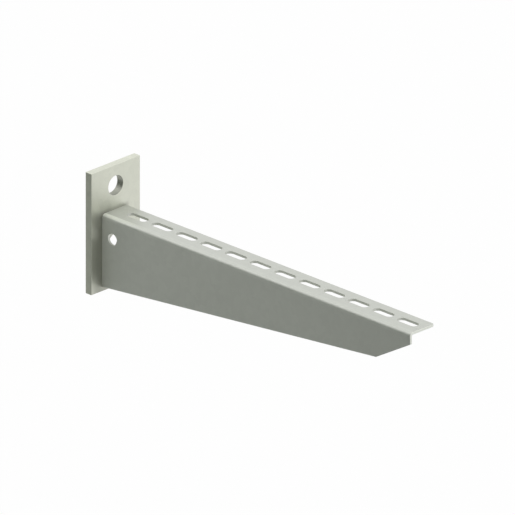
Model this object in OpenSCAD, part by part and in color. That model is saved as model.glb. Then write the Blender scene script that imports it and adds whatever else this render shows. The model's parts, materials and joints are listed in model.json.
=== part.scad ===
// Cantilever arm for cable tray: a folded, tapered steel angle welded to a wall plate.
// The arm's top flange carries a row of slots for the tray's bolts.
// Frame: X runs out from the wall, Y across the plate, Z up.
// The origin lies on the wall, midway between the two fixing holes.

/* [Wall plate] */
// Width of the wall plate
plate_w = 50; // [42:1:80]
// Height of the wall plate
plate_h = 95; // [82:1:130]
// Thickness of the wall plate
plate_t = 6; // [4:0.5:10]
// Chamfer that breaks the plate's sharp edges
plate_edge = 0.5; // [0.2:0.1:1]

/* [Wall fixing] */
// Diameter of the two fixing holes
bolt_hole_d = 15; // [9:0.5:18]
// Distance between the fixing holes
bolt_spacing = 45; // [40:1:55]
// Upper fixing hole below the plate's top edge
bolt_top_margin = 16; // [12:0.5:20]
// Room for a washer: the fixing holes' middle to the web's inner face
bolt_to_web = 12; // [10:0.5:15]

/* [Arm] */
// Length of the arm from the plate's front face
arm_len = 313.5; // [120:0.5:600]
// Top of the arm below the plate's top edge
arm_drop = 34.5; // [30:0.5:40]
// Width of the slotted flange, measured over the web
flange_w = 25; // [22:0.5:32]
// Thickness of the folded sheet
sheet_t = 2; // [1.5:0.5:4]
// Inside radius of the fold
fold_r = 1; // [0.5:0.5:3]
// Radius of the flange's free corner at the tip
flange_corner_r = 2; // [1:0.5:6]

/* [Web outline] */
// Lower edge of the arm at the plate, above the plate's bottom edge
root_margin = 3.5; // [1:0.5:10]
// Height of the arm where the nose cut begins
web_nose_h = 29; // [22:0.5:40]
// Height of the arm at its tip
web_tip_h = 9; // [8:0.5:16]
// Length of the slanting nose cut
nose_len = 35; // [20:1:60]

/* [Flange slots] */
// Distance from slot to slot
slot_pitch = 25; // [22:0.5:50]
// Length of a slot over its round ends
slot_len = 19; // [12:0.5:20]
// Width of a slot
slot_w = 7; // [5:0.5:9]
// Middle of the first slot from the plate's front face
slot_first = 22.5; // [14:0.5:40]
// Least material between the last slot and the arm's tip
slot_tip_margin = 5; // [4:0.5:15]

/* [Web hole] */
// Diameter of the earthing hole in the web
web_hole_d = 9; // [6:0.5:11]
// Earthing hole from the plate's front face
web_hole_out = 10.5; // [8:0.5:20]
// Earthing hole below the arm's top face
web_hole_drop = 17; // [12:0.5:24]

/* [Weld seams] */
// Leg of the fillet welds
weld_leg = 2.5; // [2:0.5:4]
// Length of the web's lower weld stitch
lower_stitch = 16; // [10:1:18]
// Length of the web's upper weld stitch
upper_stitch = 7; // [5:1:8]
// Bare length left at the ends of the seams
weld_end_gap = 1.5; // [0.5:0.5:3]

/* [Hidden] */
$fn = 96;

// Overshoot of a cutting tool past the face that it cuts
cut = 1;
galvanised = [0.80, 0.81, 0.76];
weld_zinc = [0.70, 0.71, 0.68];

// Heights
plate_top = bolt_spacing / 2 + bolt_top_margin;
plate_bottom = plate_top - plate_h;
arm_top = plate_top - arm_drop;
root_bottom = plate_bottom + root_margin;
root_h = arm_top - root_bottom;
nose_bottom = arm_top - web_nose_h;
tip_bottom = arm_top - web_tip_h;

// Stations along the arm
front = plate_t;
tip = front + arm_len;
nose = tip - nose_len;

// Faces of the folded sheet
web_inner = -bolt_to_web;
web_outer = web_inner - sheet_t;
flange_edge = web_outer + flange_w;
flange_under = arm_top - sheet_t;

// The slots lie in the middle of the flange's flat part, as many as the arm has room for
slot_line = (web_inner + fold_r + flange_edge) / 2;
slot_room = arm_len - slot_first - slot_len / 2 - slot_tip_margin;
slot_count = 1 + floor(slot_room / slot_pitch);

// Rise of the web's lower edge for each millimetre along the taper and the nose cut
taper_rise = (nose_bottom - root_bottom) / (nose - front);
nose_rise = (tip_bottom - nose_bottom) / nose_len;

// Distance of the seams' inner ends from the fold's inside corner, clear of its radius and of each other
corner_clear = max(fold_r, weld_leg) + weld_end_gap;

// A rectangle with its corners cut off at 45 degrees, centred on the origin
module chamfered_rectangle(w, h, c) {
    polygon([
        [-w / 2 + c, -h / 2], [w / 2 - c, -h / 2], [w / 2, -h / 2 + c], [w / 2, h / 2 - c],
        [w / 2 - c, h / 2], [-w / 2 + c, h / 2], [-w / 2, h / 2 - c], [-w / 2, -h / 2 + c]
    ]);
}

// A block, centred on the origin, with all its edges chamfered
module edge_broken_block(x, y, z, c) {
    intersection() {
        linear_extrude(z, center = true) chamfered_rectangle(x, y, c);
        rotate([90, 0, 0]) linear_extrude(y, center = true) chamfered_rectangle(x, z, c);
        rotate([90, 0, 90]) linear_extrude(x, center = true) chamfered_rectangle(y, z, c);
    }
}

// A rectangle from the origin with a round corner of radius r at its upper left
module one_round_corner(w, h, r) {
    translate([r, 0]) square([w - r, h]);
    square([w, h - r]);
    translate([r, h - r]) circle(r);
}

// Section of the folded sheet, with its outer corner at the upper left
module angle_section(w, h) {
    difference() {
        one_round_corner(w, h, fold_r + sheet_t);
        translate([sheet_t, -cut]) one_round_corner(w - sheet_t + cut, h - sheet_t + cut, fold_r);
    }
}

// The full-depth angle, before its web is cut to its taper
module folded_angle() {
    depth = root_h + cut;
    translate([front, web_outer, arm_top - depth])
        rotate([90, 0, 90])
            linear_extrude(arm_len) angle_section(flange_w, depth);
}

// Side view of the arm, carried a little past its top, its root and its tip
module tapered_outline() {
    translate([0, flange_edge + cut, 0])
        rotate([90, 0, 0])
            linear_extrude(flange_w + 2 * cut)
                polygon([
                    [front - cut, arm_top + cut],
                    [front - cut, root_bottom - cut * taper_rise],
                    [nose, nose_bottom],
                    [tip + cut, tip_bottom + cut * nose_rise],
                    [tip + cut, arm_top + cut]
                ]);
}

// Plan view of the arm, with its free corner rounded and the rest carried past its edges
module rounded_tip_plan() {
    inner_x = tip - flange_corner_r;
    inner_y = flange_edge - flange_corner_r;
    start = front - cut;
    width = flange_w + cut - flange_corner_r;
    translate([0, 0, root_bottom - cut])
        linear_extrude(root_h + 2 * cut) {
            translate([start, web_outer - cut]) square([tip - start, width]);
            translate([start, web_outer - cut]) square([inner_x - start, flange_w + 2 * cut]);
            translate([inner_x, inner_y]) circle(flange_corner_r);
        }
}

// A slot with round ends through the flange, centred at x, y
module slot_cutter(x, y) {
    reach = (slot_len - slot_w) / 2;
    translate([x, y, flange_under - cut])
        linear_extrude(sheet_t + 2 * cut) {
            square([2 * reach, slot_w], center = true);
            translate([-reach, 0]) circle(slot_w / 2);
            translate([reach, 0]) circle(slot_w / 2);
        }
}

// A fillet weld with a round face, its root on the z axis and its legs along +x and +y
module weld_bead(length) {
    linear_extrude(length)
        intersection() {
            circle(weld_leg);
            square(weld_leg + cut);
        }
}

module wall_plate() {
    color(galvanised)
        difference() {
            translate([plate_t / 2, 0, (plate_top + plate_bottom) / 2])
                edge_broken_block(plate_t, plate_w, plate_h, plate_edge);
            for (z = [-bolt_spacing / 2, bolt_spacing / 2])
                translate([-cut, 0, z])
                    rotate([0, 90, 0])
                        cylinder(h = plate_t + 2 * cut, d = bolt_hole_d);
        }
}

module arm() {
    color(galvanised)
        difference() {
            intersection() {
                folded_angle();
                tapered_outline();
                rounded_tip_plan();
            }
            for (i = [0 : slot_count - 1])
                slot_cutter(front + slot_first + i * slot_pitch, slot_line);
            translate([front + web_hole_out, web_outer - cut, arm_top - web_hole_drop])
                rotate([-90, 0, 0])
                    cylinder(h = sheet_t + 2 * cut, d = web_hole_d);
        }
}

// Two stitches in the corner of the web's inner face and the plate, clear of the lower bolt's head
module web_weld_seam() {
    upper_end = flange_under - corner_clear;
    color(weld_zinc) {
        translate([front, web_inner, root_bottom + weld_end_gap]) weld_bead(lower_stitch);
        translate([front, web_inner, upper_end - upper_stitch]) weld_bead(upper_stitch);
    }
}

// One seam in the corner of the flange's underside and the plate
module flange_weld_seam() {
    from = web_inner + corner_clear;
    to = flange_edge - weld_end_gap;
    color(weld_zinc)
        translate([front, from, flange_under])
            rotate([-90, 0, 0])
                weld_bead(to - from);
}

wall_plate();
arm();
web_weld_seam();
flange_weld_seam();
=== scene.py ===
# %% [markdown]
# # A galvanised cantilever arm
# The object is a wall bracket that carries cable tray. A thick plate is bolted to a wall, and a sheet
# of steel, folded once into an angle, is welded to it and reaches out. All of it was dipped in molten
# zinc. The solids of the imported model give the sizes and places. This lesson rebuilds them with the
# soft edges, weld beads and zinc skin of the real thing, and then sets up the light and the camera.

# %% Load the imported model
import json
import math
from collections import namedtuple

import bmesh
import bpy
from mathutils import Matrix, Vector


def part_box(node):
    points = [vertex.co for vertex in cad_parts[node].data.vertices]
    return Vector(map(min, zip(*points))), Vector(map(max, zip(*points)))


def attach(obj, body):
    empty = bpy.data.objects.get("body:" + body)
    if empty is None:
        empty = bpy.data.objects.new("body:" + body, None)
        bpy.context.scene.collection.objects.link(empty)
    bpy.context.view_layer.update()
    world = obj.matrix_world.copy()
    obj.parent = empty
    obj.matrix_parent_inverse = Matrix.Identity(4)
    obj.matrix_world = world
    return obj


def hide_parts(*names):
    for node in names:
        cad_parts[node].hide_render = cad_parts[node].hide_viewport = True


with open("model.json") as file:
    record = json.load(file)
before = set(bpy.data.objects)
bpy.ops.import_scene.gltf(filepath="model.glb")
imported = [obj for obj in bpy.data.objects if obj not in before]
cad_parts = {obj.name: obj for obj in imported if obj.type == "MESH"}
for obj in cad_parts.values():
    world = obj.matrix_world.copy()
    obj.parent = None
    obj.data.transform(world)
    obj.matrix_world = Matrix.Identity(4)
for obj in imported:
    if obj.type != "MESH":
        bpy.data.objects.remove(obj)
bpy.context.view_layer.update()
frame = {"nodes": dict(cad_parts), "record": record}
mounts = {mount["name"]: mount for mount in frame["record"]["mounts"]}
print("solids:", ", ".join(sorted(frame["nodes"])))

# %% [markdown]
# ## Sizes
# A model stays easy to change when every size has a name. Most of them can be read from the frame: the
# boxes of the plate and the arm, and the holes and slots that the record lists as mounts. What the
# frame doesn't say, such as the radius of the fold, is written as a real size in millimetres in the
# cell that needs it.

# %% Read the sizes
MM = 0.001

plate_low, plate_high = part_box("wall_plate")
arm_low, arm_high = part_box("arm")
front, tip = arm_low.x, arm_high.x
web_outer, flange_edge = arm_low.y, arm_high.y
root_bottom, arm_top = arm_low.z, arm_high.z
sheet = mounts["earth_hole"]["dims"]["length_mm"] * MM
print(f"arm {(tip - front) / MM:.1f} mm long, sheet {sheet / MM:.1f} mm thick")

# %% [markdown]
# ## Tools of the workshop
# An operator works on whatever is selected, and the loaded solids arrive selected, so every piece
# starts from an empty selection. A new primitive has its place and size moved into its mesh, so that
# its object stays at the origin and all the pieces share one set of coordinates. Modifiers could stay
# live on a piece. Here each one is used up at once, so that the next step works on real points.

# %% Start a piece
def deselect_all():
    bpy.ops.object.select_all(action="DESELECT")


def make_active(piece):
    deselect_all()
    piece.select_set(True)
    bpy.context.view_layer.objects.active = piece


def name_new(name):
    """Names the primitive that was just added and moves its place and size into its mesh."""
    piece = bpy.context.active_object
    piece.name = piece.data.name = name
    bpy.ops.object.transform_apply(location=True, rotation=True, scale=True)
    return piece


deselect_all()
print("selected at the start:", len(bpy.context.selected_objects))

# %% Cuts and soft edges
SHARP_EDGE = math.radians(40)
SMOOTH_BELOW = math.radians(35)
FLAT_FACE_WEIGHT = 80


def use_modifier(piece, kind, **settings):
    """Adds a modifier with its settings, and applies it."""
    make_active(piece)
    modifier = piece.modifiers.new(kind.title(), kind)
    for setting, value in settings.items():
        setattr(modifier, setting, value)
    bpy.ops.object.modifier_apply(modifier=modifier.name)


def cut_away(piece, cutter):
    """Takes the cutter's shape out of the piece, and removes the cutter."""
    use_modifier(piece, "BOOLEAN", operation="DIFFERENCE", solver="EXACT", object=cutter)
    bpy.data.objects.remove(cutter)


def soften_edges(piece, width, steps):
    """Rounds every sharp edge a little, and keeps the flat faces flat in the shading."""
    use_modifier(piece, "BEVEL", width=width, segments=steps, limit_method="ANGLE",
                 angle_limit=SHARP_EDGE, miter_outer="MITER_ARC", use_clamp_overlap=True)
    make_active(piece)
    bpy.ops.object.shade_smooth_by_angle(angle=SMOOTH_BELOW)
    use_modifier(piece, "WEIGHTED_NORMAL", weight=FLAT_FACE_WEIGHT, keep_sharp=True)


print(f"edges sharper than {math.degrees(SHARP_EDGE):.0f} degrees can be softened")

# %% [markdown]
# ## The wall plate
# On the real bracket this is a length of flat bar, sheared to size and punched. It could be drawn as an
# outline and extruded, but a block with two holes cut into it is quicker. What makes it look like steel
# is the small round on its edges, where the zinc gathers. So the block's edges are softened first, then
# the holes are cut and their rims softened less, because punched rims stay crisper.

# %% Wall plate
PLATE_EDGE = 0.5 * MM
PLATE_EDGE_STEPS = 3
RIM_EDGE = 0.2 * MM
RIM_STEPS = 2
HOLE_SIDES = 72
CUT_MARGIN = 2 * MM
ALONG_X = (0, math.pi / 2, 0)
BOLT_HOLES = ("upper_bolt_hole", "lower_bolt_hole")


def hole_cutter(mount, turn):
    """A cylinder for a bore that the record lists, a little longer than the bore at both ends."""
    dims = mount["dims"]
    bpy.ops.mesh.primitive_cylinder_add(
        vertices=HOLE_SIDES, radius=dims["r_mm"] * MM, depth=dims["length_mm"] * MM + 2 * CUT_MARGIN,
        location=mount["pos_m"], rotation=turn)
    return name_new("hole_cutter")


deselect_all()
bpy.ops.mesh.primitive_cube_add(
    size=1, location=(plate_low + plate_high) / 2, scale=plate_high - plate_low)
plate = name_new("galvanised_plate")
soften_edges(plate, PLATE_EDGE, PLATE_EDGE_STEPS)
for hole in BOLT_HOLES:
    deselect_all()
    cut_away(plate, hole_cutter(mounts[hole], ALONG_X))
soften_edges(plate, RIM_EDGE, RIM_STEPS)
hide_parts("wall_plate")
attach(plate, "root")
print("plate faces:", len(plate.data.polygons))

# %% [markdown]
# ## The folded arm
# The real arm is cut flat, slotted, and folded in a press. It could be a block with everything else
# carved away, but a sheet is easier to fold than to carve: a plane becomes the flange, one edge of it
# is pulled down to become the web, and a bevel along that edge is the fold. Slicing the sheet with two
# planes gives the taper and the slanting nose. Points are chosen by where they lie, so that no step
# depends on their numbers.

# %% Choose points by their place
SAME_PLACE = 0.01 * MM


def near(value, target):
    return abs(value - target) < SAME_PLACE


def choose_points(piece, test):
    """In edit mode, selects the points whose place passes the test, and what lies between them."""
    mesh = bmesh.from_edit_mesh(piece.data)
    for face in mesh.faces:
        face.select = False
    for edge in mesh.edges:
        edge.select = False
    for point in mesh.verts:
        point.select = test(point.co)
    mesh.select_flush(True)
    bmesh.update_edit_mesh(piece.data)


print(f"points closer than {SAME_PLACE / MM:.2f} mm count as one place")

# %% Fold the sheet
FOLD_INSIDE = 1 * MM
FOLD_STEPS = 10

fold_radius = FOLD_INSIDE + sheet
deselect_all()
bpy.ops.mesh.primitive_plane_add(
    size=1, location=((front + tip) / 2, (web_outer + flange_edge) / 2, arm_top))
bpy.context.active_object.scale = (tip - front, flange_edge - web_outer, 1)
arm = name_new("folded_arm")

bpy.ops.object.mode_set(mode="EDIT")
bpy.ops.mesh.select_mode(type="VERT")
choose_points(arm, lambda p: near(p.y, web_outer))
bpy.ops.mesh.extrude_region_move(TRANSFORM_OT_translate={"value": (0, 0, root_bottom - arm_top)})
choose_points(arm, lambda p: near(p.y, web_outer) and near(p.z, arm_top))
bpy.ops.mesh.bevel(offset=fold_radius, segments=FOLD_STEPS, affect="EDGES", clamp_overlap=False)
bpy.ops.object.mode_set(mode="OBJECT")
print("folded sheet faces:", len(arm.data.polygons))

# %% Slice the taper and the nose
NOSE_LENGTH = 35 * MM
NOSE_HEIGHT = 29 * MM
TIP_HEIGHT = 9 * MM
CORNER_RADIUS = 2 * MM
CORNER_STEPS = 8
EXACT = 0.001 * MM


def slice_below(start, end):
    """Removes the sheet below a line in the side view, from start to end as (x, z)."""
    run, rise = end[0] - start[0], end[1] - start[1]
    bpy.ops.mesh.select_all(action="SELECT")
    bpy.ops.mesh.bisect(
        plane_co=(start[0], 0, start[1]), plane_no=Vector((rise, 0, -run)).normalized(),
        clear_outer=True, threshold=EXACT)


nose_start = (tip - NOSE_LENGTH, arm_top - NOSE_HEIGHT)
bpy.ops.object.mode_set(mode="EDIT")
slice_below((front, root_bottom), nose_start)
slice_below(nose_start, (tip, arm_top - TIP_HEIGHT))
choose_points(arm, lambda p: near(p.x, tip) and near(p.y, flange_edge))
bpy.ops.mesh.bevel(offset=CORNER_RADIUS, segments=CORNER_STEPS, affect="VERTICES")
bpy.ops.object.mode_set(mode="OBJECT")
print("sliced sheet points:", len(arm.data.vertices))

# %% [markdown]
# ## Thickness, slots and the side hole
# The real slots are punched by one tool, stroke after stroke. They could be drawn into the flange
# before it gets its thickness, but a cutter works as the real tool does: a cylinder whose two halves
# are pulled apart has the slot's round ends, and an Array repeats it at the slots' own spacing. Before
# that, Solidify grows the sheet on the side that its faces turn away from, here the inside of the fold.
# The edges come last.

# %% Places of the slots
slot_mounts = [mount for name, mount in mounts.items() if name.startswith("tray_slots_")]
slot_dims = slot_mounts[0]["dims"]
slot_centre = Vector(slot_mounts[0]["pos_m"])
slot_offsets = [mount["dims"]["spacing_x_mm"] * MM / 2 for mount in slot_mounts]
slot_places = sorted(slot_centre.x + side * offset for offset in slot_offsets for side in (-1, 1))
slot_pitch = slot_places[1] - slot_places[0]
slot_radius = slot_dims["hole_r_mm"] * MM
slot_pull = slot_dims["slot_length_mm"] * MM / 2 - slot_radius
print(f"{len(slot_places)} slots, {slot_pitch / MM:.1f} mm apart")

# %% Thicken and punch
INWARDS = -1
SLOT_SIDES = 48
HALF_A_SIDE = math.pi / SLOT_SIDES


def repeat(piece, count, step):
    """Repeats the piece so many times, each a step further."""
    use_modifier(piece, "ARRAY", count=count, use_relative_offset=False, use_constant_offset=True,
                 constant_offset_displace=step)


use_modifier(arm, "SOLIDIFY", thickness=sheet, offset=INWARDS, use_even_offset=True,
             use_quality_normals=True)
deselect_all()
bpy.ops.mesh.primitive_cylinder_add(
    vertices=SLOT_SIDES, radius=slot_radius, depth=sheet + 2 * CUT_MARGIN,
    location=(slot_places[0], slot_centre.y, arm_top - sheet / 2), rotation=(0, 0, HALF_A_SIDE))
punch = name_new("slot_punch")
bpy.ops.object.mode_set(mode="EDIT")
for side in (-1, 1):
    choose_points(punch, lambda p: (p.x - slot_places[0]) * side > 0)
    bpy.ops.transform.translate(value=(side * slot_pull, 0, 0))
bpy.ops.object.mode_set(mode="OBJECT")
repeat(punch, len(slot_places), (slot_pitch, 0, 0))
cut_away(arm, punch)
print("slotted arm faces:", len(arm.data.polygons))

# %% Side hole and soft edges
SHEET_EDGE = 0.25 * MM
SHEET_EDGE_STEPS = 2
ALONG_Y = (math.pi / 2, 0, 0)

deselect_all()
cut_away(arm, hole_cutter(mounts["earth_hole"], ALONG_Y))
soften_edges(arm, SHEET_EDGE, SHEET_EDGE_STEPS)
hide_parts("arm")
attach(arm, "root")
print("arm faces:", len(arm.data.polygons))

# %% [markdown]
# ## The weld beads
# A fillet weld is a row of small pools that froze one after another, so its face has ripples. A quarter
# of a rod with a bump map would look flat from close by. One flattened ball per pool, repeated by an
# Array, gives real ripples. Remesh melts the balls into one skin, and two slices leave the quarter that
# stands in the corner between the plate and the sheet.

# %% Shape of a bead
RIPPLE = 1.3 * MM
POOL_STRETCH = 0.62
POOL_SEGMENTS = 32
POOL_RINGS = 16
MELT = 0.16 * MM
BEAD_SMOOTH_BELOW = math.radians(50)
X, Y, Z = Vector((1, 0, 0)), Vector((0, 1, 0)), Vector((0, 0, 1))


def weld_bead(name, corner, along, length, leg, away):
    """A bead from a corner along an axis. It keeps to the plate's front and to the side away."""
    pool = leg * POOL_STRETCH
    pools = 1 + round((length - 2 * pool) / RIPPLE)
    step = (length - 2 * pool) / (pools - 1)
    stretch = Vector((1, 1, 1)) - (1 - POOL_STRETCH) * along
    deselect_all()
    bpy.ops.mesh.primitive_uv_sphere_add(
        segments=POOL_SEGMENTS, ring_count=POOL_RINGS, radius=leg,
        location=corner + along * pool, scale=stretch)
    bead = name_new(name)
    repeat(bead, pools, along * step)
    use_modifier(bead, "REMESH", mode="VOXEL", voxel_size=MELT)
    bpy.ops.object.mode_set(mode="EDIT")
    for outward in (-X, -away):
        bpy.ops.mesh.select_all(action="SELECT")
        bpy.ops.mesh.bisect(plane_co=corner, plane_no=outward, clear_outer=True, use_fill=True,
                            threshold=EXACT)
    bpy.ops.object.mode_set(mode="OBJECT")
    bpy.ops.object.shade_smooth_by_angle(angle=BEAD_SMOOTH_BELOW)
    print(name, "has", pools, "pools")
    return bead


web_seam_low, web_seam_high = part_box("web_weld_seam")
weld_leg = web_seam_high.x - web_seam_low.x
print(f"weld leg {weld_leg / MM:.1f} mm")

# %% Web weld, in two stitches
seam_points = frame["nodes"]["web_weld_seam"].data.vertices
seam_heights = sorted({round(point.co.z, 6) for point in seam_points})
bare_low, bare_high = max(zip(seam_heights, seam_heights[1:]), key=lambda pair: pair[1] - pair[0])
web_beads = [
    weld_bead("web_weld_stitch", Vector((front, web_seam_low.y, low)), Z, high - low, weld_leg, Y)
    for low, high in ((seam_heights[0], bare_low), (bare_high, seam_heights[-1]))]
make_active(web_beads[0])
for bead in web_beads[1:]:
    bead.select_set(True)
bpy.ops.object.join()
web_weld = web_beads[0]
web_weld.name = "web_weld_beads"
print(f"bare stretch between the stitches {(bare_high - bare_low) / MM:.1f} mm")

# %% Flange weld
flange_seam_low, flange_seam_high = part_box("flange_weld_seam")
flange_corner = Vector((front, flange_seam_low.y, flange_seam_high.z))
flange_run = flange_seam_high.y - flange_seam_low.y
flange_weld = weld_bead("flange_weld_bead", flange_corner, Y, flange_run, weld_leg, -Z)

for bead, node in ((web_weld, "web_weld_seam"), (flange_weld, "flange_weld_seam")):
    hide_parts(node)
    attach(bead, "root")
    print(bead.name, "faces:", len(bead.data.polygons))

# %% [markdown]
# ## Shader maths in plain Python
# A material is a graph of nodes, and long graphs are hard to read. This small class wraps one output of
# a node, so that sums and products of such values are written as ordinary expressions, and each
# expression adds its own Math nodes. Every other node comes from its one method, node.

# %% A socket that can be calculated with
class Signal:
    def __init__(self, socket):
        self.socket = socket
        self.tree = socket.id_data

    def node(self, kind, settings=None, inputs=None, output=0):
        """Adds a node to the tree: its settings first, then its sockets' values or links."""
        made = self.tree.nodes.new(kind)
        for setting, value in (settings or {}).items():
            setattr(made, setting, value)
        for name, value in (inputs or {}).items():
            if isinstance(value, Signal):
                self.tree.links.new(value.socket, made.inputs[name])
            else:
                made.inputs[name].default_value = value
        return Signal(made.outputs[output])

    def maths(self, operation, first, second):
        return self.node("ShaderNodeMath", {"operation": operation}, {0: first, 1: second})

    def __add__(self, other):
        return self.maths("ADD", self, other)

    def __radd__(self, other):
        return self.maths("ADD", other, self)

    def __sub__(self, other):
        return self.maths("SUBTRACT", self, other)

    def __rsub__(self, other):
        return self.maths("SUBTRACT", other, self)

    def __mul__(self, other):
        return self.maths("MULTIPLY", self, other)

    def __rmul__(self, other):
        return self.maths("MULTIPLY", other, self)


print("signals can be added, subtracted and multiplied")

# %% [markdown]
# ## The zinc skin
# Zinc that froze on steel is a satin, slightly warm grey. It isn't one colour: it crystallises in
# patches of a few millimetres that each shine a little differently, it clouds over more widely, and it
# has a fine grain. One noise alone would look like dirt. A cell texture with ragged borders makes the
# crystals, and two noises make the clouds and the grain. They vary the colour and the roughness by only
# a few per cent, because a galvanised face still reads as plain.

# %% Zinc texture
CRYSTALS_PER_METRE = 240
CLOUDS_PER_METRE = 28
GRAIN_PER_METRE = 1400
RAGS_PER_CRYSTAL = 3
RAG_LENGTH = 0.35
MEAN = 0.5


def zinc_texture(place):
    """The crystals, the clouds and the grain at a place, each about zero on average."""
    ragged = place.node("ShaderNodeTexNoise", {}, {
        "Vector": place, "Scale": RAGS_PER_CRYSTAL * CRYSTALS_PER_METRE, "Detail": 2.0}, "Color")
    nudge = place.node("ShaderNodeVectorMath", {"operation": "SCALE"}, {
        0: ragged, "Scale": RAG_LENGTH / CRYSTALS_PER_METRE})
    bent = place.node("ShaderNodeVectorMath", {"operation": "ADD"}, {0: place, 1: nudge})
    cell = place.node("ShaderNodeTexVoronoi", {"feature": "F1"}, {
        "Vector": bent, "Scale": CRYSTALS_PER_METRE}, "Color")
    crystal = place.node("ShaderNodeSeparateColor", {}, {"Color": cell}, "Red")
    cloud = place.node("ShaderNodeTexNoise", {}, {
        "Vector": place, "Scale": CLOUDS_PER_METRE, "Detail": 4.0, "Roughness": 0.6}, "Fac")
    grain = place.node("ShaderNodeTexNoise", {}, {
        "Vector": place, "Scale": GRAIN_PER_METRE, "Detail": 3.0}, "Fac")
    return crystal - MEAN, cloud - MEAN, grain - MEAN


print(f"crystals of about {1 / (CRYSTALS_PER_METRE * MM):.1f} mm")

# %% [markdown]
# ## Marks, painted shade and painted light
# A few places differ from the rest. On the plate, the long sides are darker and the short ends are
# lighter. Painted shade darkens the punched bores, the plate's face beside the web and the plate's face
# just above the flange, where the arm meets the plate. On the sheet, the press polishes the outside of
# the fold, and a painted highlight makes it lighter. Painted light lightens the web beside the plate, a
# painted highlight lies on the crest of the fold near the plate, and painted light makes the cut end at
# the tip bright. All this could be painted on by hand, but a mask made from the distance to a box or a
# bore follows the sizes by itself. Each mark also says how much lighter or darker, and how much
# rougher, the zinc is there.

# %% Masks from distances
FAR = 1.0
SKIN = 0.4 * MM
Mark = namedtuple("Mark", "mask lighter rougher")


def fade(distance, start, end):
    """One up to the start distance, and softly down to zero at the end distance."""
    return distance.node("ShaderNodeMapRange", {"interpolation_type": "SMOOTHSTEP"}, {
        "Value": distance, "From Min": start, "From Max": end, "To Min": 1.0, "To Max": 0.0})


def box_distance(place, low, high):
    """How far a place lies from the box between two corners."""
    centre = (Vector(low) + Vector(high)) / 2
    half = (Vector(high) - Vector(low)) / 2
    offset = place.node("ShaderNodeVectorMath", {"operation": "SUBTRACT"}, {0: place, 1: centre})
    either_way = place.node("ShaderNodeVectorMath", {"operation": "ABSOLUTE"}, {0: offset})
    past = place.node("ShaderNodeVectorMath", {"operation": "SUBTRACT"}, {0: either_way, 1: half})
    outside = place.node("ShaderNodeVectorMath", {"operation": "MAXIMUM"}, {0: past, 1: (0, 0, 0)})
    return place.node("ShaderNodeVectorMath", {"operation": "LENGTH"}, {0: outside}, "Value")


def bore_distance(place, mount):
    """How far a place lies from the axis, along X, of a bore."""
    axis = Vector(mount["pos_m"])
    return box_distance(place, (-FAR, axis.y, axis.z), (FAR, axis.y, axis.z))


print("each mark has:", ", ".join(Mark._fields))

# %% Marks and painted shade on the plate
# How far the edge of the painted shade drifts with the clouds, and how far under the arm's top it
# stops.
PAINTED_SHADE_DRIFT = 6 * MM
PAINTED_SHADE_BELOW_TOP = 4 * MM
FLANGE_DRIFT = 0.3
BORE_SKIN = 0.15 * MM


def plate_marks_and_painted_shade(place, cloud):
    drift = cloud * PAINTED_SHADE_DRIFT
    beside_web = box_distance(
        place, (-FAR, web_outer, root_bottom), (FAR, web_outer + sheet, arm_top - PAINTED_SHADE_BELOW_TOP))
    over_flange = box_distance(
        place, (-FAR, web_outer, arm_top - sheet), (FAR, flange_edge, arm_top))
    within_sides = box_distance(
        place, (-FAR, plate_low.y + SKIN, -FAR), (FAR, plate_high.y - SKIN, FAR))
    within_ends = box_distance(
        place, (-FAR, -FAR, plate_low.z + SKIN), (FAR, FAR, plate_high.z - SKIN))
    before_plate = box_distance(place, (front, -FAR, -FAR), (FAR, FAR, FAR))
    on_front = fade(before_plate, start=0.1 * MM, end=1 * MM)
    # Painted shade on the plate's face beside the web, where the arm casts its shadow.
    painted_web_shade = fade(beside_web + drift, start=3 * MM, end=15 * MM)
    # Painted shade on the plate's face just above the flange, in the corner.
    painted_flange_shade = fade(over_flange + drift * FLANGE_DRIFT, start=0.0, end=3.8 * MM)
    marks = [
        Mark(painted_web_shade * on_front, lighter=-0.33, rougher=0.14),
        Mark(painted_flange_shade * on_front, lighter=-0.27, rougher=0.05),
        Mark(1.0 - fade(within_sides, start=0.0, end=SKIN / 2), lighter=-0.10, rougher=0.05),
        Mark(1.0 - fade(within_ends, start=0.0, end=SKIN / 2), lighter=0.08, rougher=0.0),
    ]
    # Painted shade inside the punched bores.
    for hole in BOLT_HOLES:
        radius = mounts[hole]["dims"]["r_mm"] * MM
        painted_bore_shade = fade(bore_distance(place, mounts[hole]), start=radius, end=radius + BORE_SKIN)
        marks.append(Mark(painted_bore_shade, lighter=-0.45, rougher=0.05))
    return marks


print(f"painted_shade drifts by up to {PAINTED_SHADE_DRIFT * MEAN / MM:.0f} mm with the clouds")

# %% Polish and painted light on the sheet
CREST = 0.9 * MM


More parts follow.
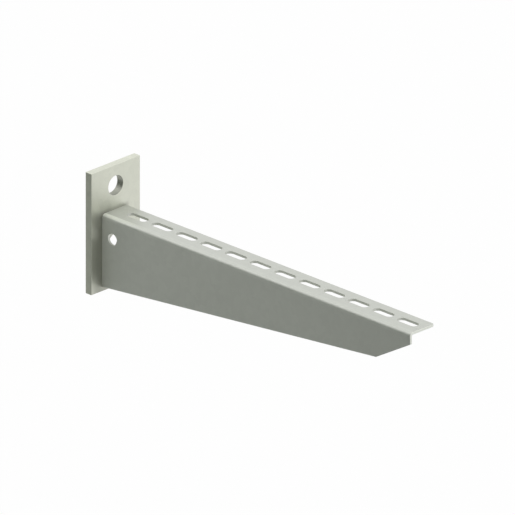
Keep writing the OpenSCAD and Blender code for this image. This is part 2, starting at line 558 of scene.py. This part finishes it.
def sheet_polish_and_painted_light(place, cloud):
    fold = box_distance(
        place, (-FAR, web_outer, arm_top - fold_radius), (FAR, web_outer + fold_radius, arm_top))
    crest = box_distance(
        place, (-FAR, web_outer, arm_top - CREST), (FAR, web_outer + fold_radius, arm_top))
    web_side = box_distance(place, (-FAR, -FAR, -FAR), (FAR, web_outer + fold_radius / 2, FAR))
    from_plate = box_distance(place, (-FAR, -FAR, -FAR), (front, FAR, FAR))
    cut_end = box_distance(place, (tip - SKIN / 2, -FAR, -FAR), (FAR, FAR, FAR))
    # Painted light on the web near the plate.
    painted_web_root_light = fade(from_plate, start=4 * MM, end=20 * MM) * fade(web_side, start=0.0, end=CREST)
    # Painted highlight on the crest of the fold near the plate.
    painted_crest_highlight = fade(from_plate, start=10 * MM, end=45 * MM) * fade(crest, start=0.0, end=CREST)
    return [
        # The polished fold is smoother, and a painted highlight makes it lighter.
        Mark(fade(fold, start=0.0, end=1.5 * MM), lighter=0.06, rougher=-0.04),
        Mark(painted_web_root_light, lighter=0.12, rougher=0.0),
        Mark(painted_crest_highlight, lighter=0.34, rougher=0.0),
        # Painted light on the cut end at the tip.
        Mark(fade(cut_end, start=0.0, end=SKIN / 2), lighter=0.36, rougher=0.0),
    ]


def no_marks(place, cloud):
    return []


print(f"crest of the fold {CREST / MM:.1f} mm")

# %% [markdown]
# ## Finishes
# Three materials could be built by hand, but they would drift apart. So all three come from one recipe:
# the texture sets the tone, the marks scale it, and the same patterns vary the roughness a little. The
# plate is bright and metallic, the rolled sheet is greyer and more matt, and the weld is coarse and
# dark.

# %% Recipe of the finishes
CRYSTAL_SHARE = 0.06
CLOUD_SHARE = 0.08
GRAIN_SHARE = 0.03
GRAIN_DEPTH = 0.15 * MM


def galvanised(name, colour, metallic, roughness, contrast, bump, find_marks):
    """A zinc finish. The contrast scales the texture, and the bump scales the grain's relief."""
    material = bpy.data.materials.new(name)
    material.use_nodes = True
    tree = material.node_tree
    shader = tree.nodes["Principled BSDF"]
    shader.inputs["Metallic"].default_value = metallic

    place = Signal(tree.nodes.new("ShaderNodeTexCoord").outputs["Object"])
    crystal, cloud, grain = zinc_texture(place)
    patches = crystal * CRYSTAL_SHARE + cloud * CLOUD_SHARE
    tone = 1.0 + (patches + grain * GRAIN_SHARE) * contrast
    gloss = roughness + patches * contrast
    # Some of the marks are painted shade or painted light, and they scale the tone like the rest.
    for mark in find_marks(place, cloud):
        tone = tone * (1.0 + mark.mask * mark.lighter)
        gloss = gloss + mark.mask * mark.rougher
    skin = place.node("ShaderNodeVectorMath", {"operation": "SCALE"}, {0: colour, "Scale": tone})
    relief = place.node("ShaderNodeBump", {}, {
        "Strength": bump, "Distance": GRAIN_DEPTH, "Height": grain})
    tree.links.new(skin.socket, shader.inputs["Base Color"])
    tree.links.new(gloss.socket, shader.inputs["Roughness"])
    tree.links.new(relief.socket, shader.inputs["Normal"])
    print(name, "has", len(tree.nodes), "nodes")
    return material


print(f"tone varies by crystals {CRYSTAL_SHARE}, clouds {CLOUD_SHARE}, grain {GRAIN_SHARE}")

# %% Finishes
plate_zinc = galvanised(
    "zinc_on_plate", colour=(0.675, 0.690, 0.600), metallic=0.97, roughness=0.42,
    contrast=1.0, bump=0.05, find_marks=plate_marks_and_painted_shade)
sheet_zinc = galvanised(
    "zinc_on_sheet", colour=(0.642, 0.661, 0.606), metallic=0.34, roughness=0.37,
    contrast=0.7, bump=0.03, find_marks=sheet_polish_and_painted_light)
weld_zinc = galvanised(
    "zinc_on_weld", colour=(0.516, 0.535, 0.495), metallic=0.90, roughness=0.50,
    contrast=2.5, bump=0.20, find_marks=no_marks)
finishes = ((plate, plate_zinc), (arm, sheet_zinc), (web_weld, weld_zinc), (flange_weld, weld_zinc))
for piece, finish in finishes:
    piece.data.materials.clear()
    piece.data.materials.append(finish)
    print(piece.name, "has", finish.name)

# %% [markdown]
# ## The floor
# The bracket hangs free above a white floor, far enough that its soft shadow falls outside the picture.
# Strong light could make the floor white, but it would bleach the zinc as well. So the floor glows
# white only for the camera and for reflections, and stays plain matt paint for all other light.

# %% Floor
FLOOR_DROP = 0.40
FLOOR_SIZE = 9.0
FLOOR_PAINT = (0.96, 0.96, 0.96)
FLOOR_GLOW = 0.97


def seen_directly(tree):
    """One for rays from the camera, from gloss and through glass, and zero for the rest."""
    path = tree.nodes.new("ShaderNodeLightPath")
    names = ("Is Camera Ray", "Is Glossy Ray", "Is Transmission Ray")
    rays = [Signal(path.outputs[name]) for name in names]
    return rays[0].node("ShaderNodeMath", {"operation": "ADD", "use_clamp": True},
                        {0: rays[0] + rays[1], 1: rays[2]})


def stage_material(name, colour, glow):
    """Matt paint or cloth that shows as white, as much as its glow says, where it is seen directly."""
    material = bpy.data.materials.new(name)
    material.use_nodes = True
    tree = material.node_tree
    tree.nodes.clear()
    seen = seen_directly(tree)
    matt = seen.node("ShaderNodeBsdfDiffuse", {}, {"Color": colour + (1,)})
    light = seen.node("ShaderNodeEmission", {}, {"Color": (1, 1, 1, 1), "Strength": 1.0})
    mixed = seen.node("ShaderNodeMixShader", {}, {0: seen * glow, 1: matt, 2: light})
    output = tree.nodes.new("ShaderNodeOutputMaterial")
    tree.links.new(mixed.socket, output.inputs["Surface"])
    return material


floor_level = plate_low.z - FLOOR_DROP
deselect_all()
bpy.ops.mesh.primitive_plane_add(size=FLOOR_SIZE, location=(0, 0, floor_level))
floor = name_new("floor")
floor.data.materials.append(stage_material("white_floor", FLOOR_PAINT, FLOOR_GLOW))
print(f"floor {FLOOR_DROP} m below the plate")

# %% [markdown]
# ## Two flags
# Metal shows what stands around it: white all round would leave it without form. Darker zinc would be
# wrong from every other side. So, as in a studio, two cloths called flags stand along the web's side,
# and the web turns a clear shade darker than the flange and the plate's face. The grey one, by the
# plate, is what the web mirrors towards the camera. The dark one, by the tip, is higher, and keeps more
# of the light off the web. The camera itself doesn't see them.

# %% Flags
FLAG_AWAY = 0.45
FLAG_START = -1.5
FLAG_SPLIT = 0.2
FLAG_END = 1.4
GREY_TOP = 0.26
DARK_TOP = 0.38
GREY_TONE = 0.325
DARK_TONE = 0.08
FLAG_TINT = (1.0, 1.07, 0.98)
NO_GLOW = 0.0


def stand_flag(name, start, end, top, tone):
    """A cloth along the web's side, from start to end in x, that the camera doesn't see."""
    deselect_all()
    bpy.ops.mesh.primitive_plane_add(
        size=1, location=((start + end) / 2, web_outer - FLAG_AWAY, (floor_level + top) / 2),
        rotation=ALONG_Y)
    bpy.context.active_object.scale = (end - start, top - floor_level, 1)
    flag = name_new(name)
    cloth = tuple(tone * tint for tint in FLAG_TINT)
    flag.data.materials.append(stage_material(name + "_cloth", cloth, NO_GLOW))
    flag.visible_camera = False
    return flag


grey_flag = stand_flag("grey_flag", FLAG_START, FLAG_SPLIT, GREY_TOP, GREY_TONE)
dark_flag = stand_flag("dark_flag", FLAG_SPLIT, FLAG_END, DARK_TOP, DARK_TONE)
print("stage:", floor.name, grey_flag.name, dark_flag.name)

# %% [markdown]
# ## Light
# Plain studio light could be one big lamp, but a metal needs something bright on every side. So the
# world is white all round. It lights the bracket at three quarters of that level, at which a colour
# comes out about as it is written, while the camera and reflections see it as full white. Three soft
# lamps give it form: one high up behind the plate, a key lamp in front of the plate, and one at the
# web's side, beyond the flags.

# %% White world
SKY_LEVEL = 0.75

world = bpy.data.worlds.new("studio")
bpy.context.scene.world = world
world.use_nodes = True
sky = world.node_tree
background = sky.nodes["Background"]
background.inputs["Color"].default_value = (1, 1, 1, 1)
sky_strength = SKY_LEVEL + seen_directly(sky) * (1 - SKY_LEVEL)
sky.links.new(sky_strength.socket, background.inputs["Strength"])
print("world lights at", SKY_LEVEL)

# %% Lamps
def soft_lamp(name, place, target, size, watts):
    """A round lamp at a place, turned to its target."""
    deselect_all()
    bpy.ops.object.light_add(type="AREA", location=place)
    lamp = bpy.context.active_object
    lamp.name = name
    lamp.rotation_euler = (Vector(target) - Vector(place)).to_track_quat("-Z", "Y").to_euler()
    lamp.data.shape = "DISK"
    lamp.data.size = size
    lamp.data.energy = watts
    print(f"{name}: {watts} W, {size} m across")


arm_middle = (arm_low + arm_high) / 2
soft_lamp("lamp_above", place=(-0.75, -0.35, 1.15), target=arm_middle, size=1.2, watts=1.5)
soft_lamp("lamp_key", place=(1.25, 0.38, 0.93), target=(0.01, 0, 0), size=0.7, watts=1.7)
soft_lamp("lamp_side", place=(0.30, -1.40, 0.60), target=arm_middle, size=0.9, watts=4.4)

# %% [markdown]
# ## Camera
# The picture has no vanishing point: edges that are parallel on the object stay parallel. A very long
# lens could give that, but an orthographic camera gives it exactly. Its direction and scale come from
# the edges of the plate and the arm, and it is placed so that one corner of the plate falls on that
# corner's pixel.

# %% Direction of the view
VIEW_AZIMUTH = math.radians(44.88)
VIEW_ELEVATION = math.radians(22.88)

back = Vector((
    math.sin(VIEW_AZIMUTH) * math.cos(VIEW_ELEVATION),
    -math.cos(VIEW_AZIMUTH) * math.cos(VIEW_ELEVATION),
    math.sin(VIEW_ELEVATION)))
right = Vector((math.cos(VIEW_AZIMUTH), math.sin(VIEW_AZIMUTH), 0))
up = back.cross(right)
print("the camera stands towards", [round(part, 3) for part in back])

# %% Camera
PICTURE = 515
PIXELS_PER_METRE = 1386.9
CORNER_PIXEL = (91.26, 295.60)
CAMERA_DISTANCE = 1.5

plate_corner = Vector((plate_high.x, plate_low.y, plate_low.z))
corner_across = (CORNER_PIXEL[0] - PICTURE / 2) / PIXELS_PER_METRE
corner_up = (PICTURE / 2 - CORNER_PIXEL[1]) / PIXELS_PER_METRE
picture_centre = plate_corner - right * corner_across - up * corner_up

deselect_all()
bpy.ops.object.camera_add(location=picture_centre + back * CAMERA_DISTANCE)
camera = bpy.context.active_object
camera.rotation_euler = (-back).to_track_quat("-Z", "Y").to_euler()
camera.data.type = "ORTHO"
camera.data.ortho_scale = PICTURE / PIXELS_PER_METRE
bpy.context.scene.camera = camera
bpy.context.scene.view_settings.view_transform = "Standard"
print(f"camera frames {camera.data.ortho_scale / MM:.0f} mm")
